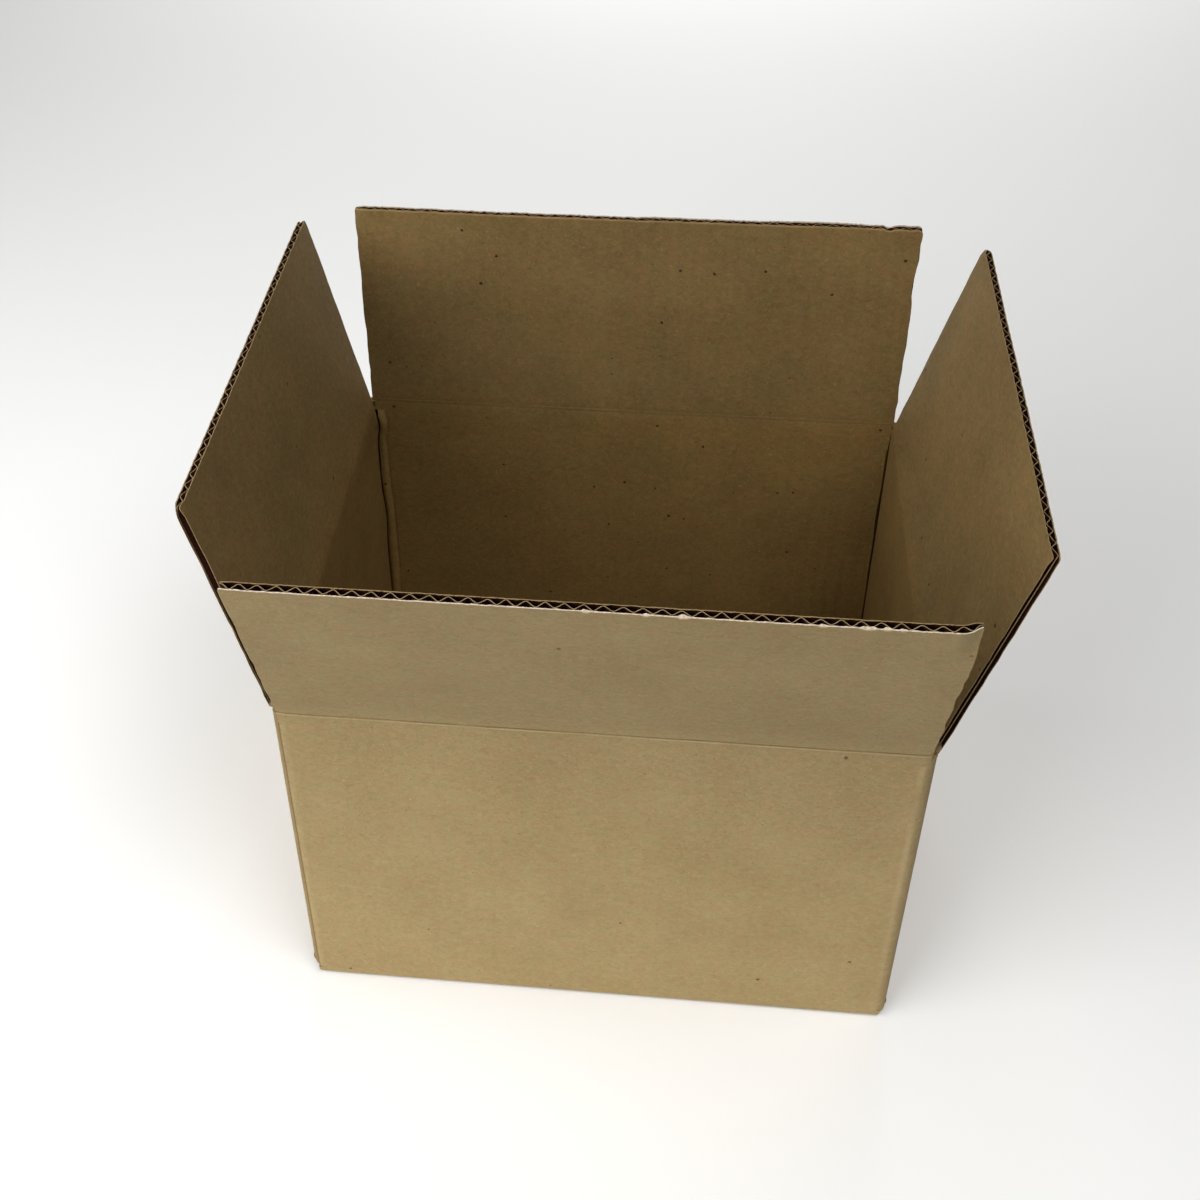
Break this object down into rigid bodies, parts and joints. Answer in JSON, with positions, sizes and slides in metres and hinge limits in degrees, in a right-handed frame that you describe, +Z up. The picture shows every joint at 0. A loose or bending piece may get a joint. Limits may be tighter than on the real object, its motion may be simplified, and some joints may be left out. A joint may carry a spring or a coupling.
{
  "type": "open cardboard box",
  "caption": "Corrugated cardboard shipping box standing open, with hinged top flaps, a glued corner and a taped base.",
  "frame": {"origin": "middle of the base, on the surface that the box stands on", "axes": "+X along the long front panel, -Y out of the front panel, +Z up out of the open top"},
  "size_m": [0.365, 0.2935, 0.3292],
  "materials": {
    "kraft_board": "matt brown kraft paper",
    "packing_tape": "smooth tan film"
  },
  "bodies": {
    "carton": {"carton_body": "kraft_board", "bottom_tape": "packing_tape"},
    "front_flap": {"front_flap": "kraft_board"},
    "back_flap": {"back_flap": "kraft_board"},
    "left_flap": {"left_flap": "kraft_board"},
    "right_flap": {"right_flap": "kraft_board"}
  },
  "joints": [
    {"name": "front_flap_hinge", "type": "hinge", "parent": "carton", "child": "front_flap", "pos_m": [0, -0.125, 0.2052], "axis": [1, 0, 0], "range_deg": [-110, 150]},
    {"name": "back_flap_hinge", "type": "hinge", "parent": "carton", "child": "back_flap", "pos_m": [0, 0.125, 0.2052], "axis": [-1, 0, 0], "range_deg": [-90.5, 169.5]},
    {"name": "left_flap_hinge", "type": "hinge", "parent": "carton", "child": "left_flap", "pos_m": [-0.1525, 0, 0.2009], "axis": [0, -1, 0], "range_deg": [-103, 157]},
    {"name": "right_flap_hinge", "type": "hinge", "parent": "carton", "child": "right_flap", "pos_m": [0.1525, 0, 0.2009], "axis": [0, 1, 0], "range_deg": [-105, 155]}
  ]
}
